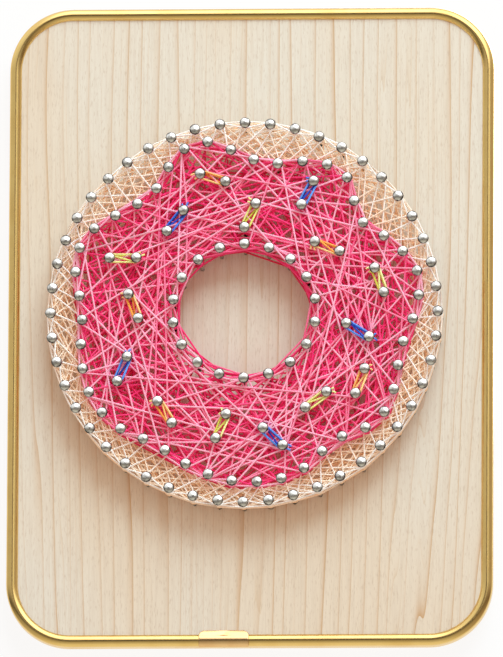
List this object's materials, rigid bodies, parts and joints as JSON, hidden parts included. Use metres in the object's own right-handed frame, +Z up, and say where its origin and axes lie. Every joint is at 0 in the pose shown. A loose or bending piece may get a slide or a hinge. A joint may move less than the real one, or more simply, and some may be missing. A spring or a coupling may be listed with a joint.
{
  "type": "string art wall panel",
  "caption": "Wall panel of string art: a doughnut of coloured thread wound on nails, on a rounded wooden board with a brass rim, hung by a swinging ring on its back.",
  "frame": {"origin": "on the wall, straight behind the point where the wall hook carries the hanging ring", "axes": "+X to the right of the panel's face, +Y into the wall, +Z up"},
  "size_m": [0.182, 0.0247, 0.2445],
  "materials": {
    "wood": "satin, pale, straight grain",
    "brass": "polished",
    "clip_brass": "polished sheet",
    "nail_steel": "bright nickel plate",
    "zinc": "zinc plate",
    "felt": "felt",
    "cream_thread": "twisted thread",
    "pink_thread": "twisted thread",
    "orange_thread": "twisted thread",
    "lime_thread": "twisted thread",
    "blue_thread": "twisted thread"
  },
  "bodies": {
    "panel": {"board": "wood", "rim": "brass", "seam_clip": "clip_brass", "dough_nails": "nail_steel", "icing_nails": "nail_steel", "eye_nails": "nail_steel", "dough_thread": "cream_thread", "icing_thread": "pink_thread", "sprinkle_01_nail_a": "nail_steel", "sprinkle_01_nail_b": "nail_steel", "sprinkle_01_thread": "orange_thread", "sprinkle_02_nail_a": "nail_steel", "sprinkle_02_nail_b": "nail_steel", "sprinkle_02_thread": "blue_thread", "sprinkle_03_nail_a": "nail_steel", "sprinkle_03_nail_b": "nail_steel", "sprinkle_03_thread": "lime_thread", "sprinkle_04_nail_a": "nail_steel", "sprinkle_04_nail_b": "nail_steel", "sprinkle_04_thread": "blue_thread", "sprinkle_05_nail_a": "nail_steel", "sprinkle_05_nail_b": "nail_steel", "sprinkle_05_thread": "lime_thread", "sprinkle_06_nail_a": "nail_steel", "sprinkle_06_nail_b": "nail_steel", "sprinkle_06_thread": "orange_thread", "sprinkle_07_nail_a": "nail_steel", "sprinkle_07_nail_b": "nail_steel", "sprinkle_07_thread": "orange_thread", "sprinkle_08_nail_a": "nail_steel", "sprinkle_08_nail_b": "nail_steel", "sprinkle_08_thread": "lime_thread", "sprinkle_09_nail_a": "nail_steel", "sprinkle_09_nail_b": "nail_steel", "sprinkle_09_thread": "blue_thread", "sprinkle_10_nail_a": "nail_steel", "sprinkle_10_nail_b": "nail_steel", "sprinkle_10_thread": "blue_thread", "sprinkle_11_nail_a": "nail_steel", "sprinkle_11_nail_b": "nail_steel", "sprinkle_11_thread": "orange_thread", "sprinkle_12_nail_a": "nail_steel", "sprinkle_12_nail_b": "nail_steel", "sprinkle_12_thread": "orange_thread", "sprinkle_13_nail_a": "nail_steel", "sprinkle_13_nail_b": "nail_steel", "sprinkle_13_thread": "lime_thread", "sprinkle_14_nail_a": "nail_steel", "sprinkle_14_nail_b": "nail_steel", "sprinkle_14_thread": "lime_thread", "sprinkle_15_nail_a": "nail_steel", "sprinkle_15_nail_b": "nail_steel", "sprinkle_15_thread": "blue_thread", "hanger_strap": "zinc", "hanger_screw": "zinc", "bumper_top_left": "felt", "bumper_top_right": "felt", "bumper_bottom_left": "felt", "bumper_bottom_right": "felt"},
    "ring": {"hanger_ring": "zinc"}
  },
  "joints": [
    {"name": "ring_swing", "type": "hinge", "parent": "panel", "child": "ring", "pos_m": [0, -0.0025, -0.01], "axis": [-1, 0, 0], "range_deg": [0, 180]}
  ]
}
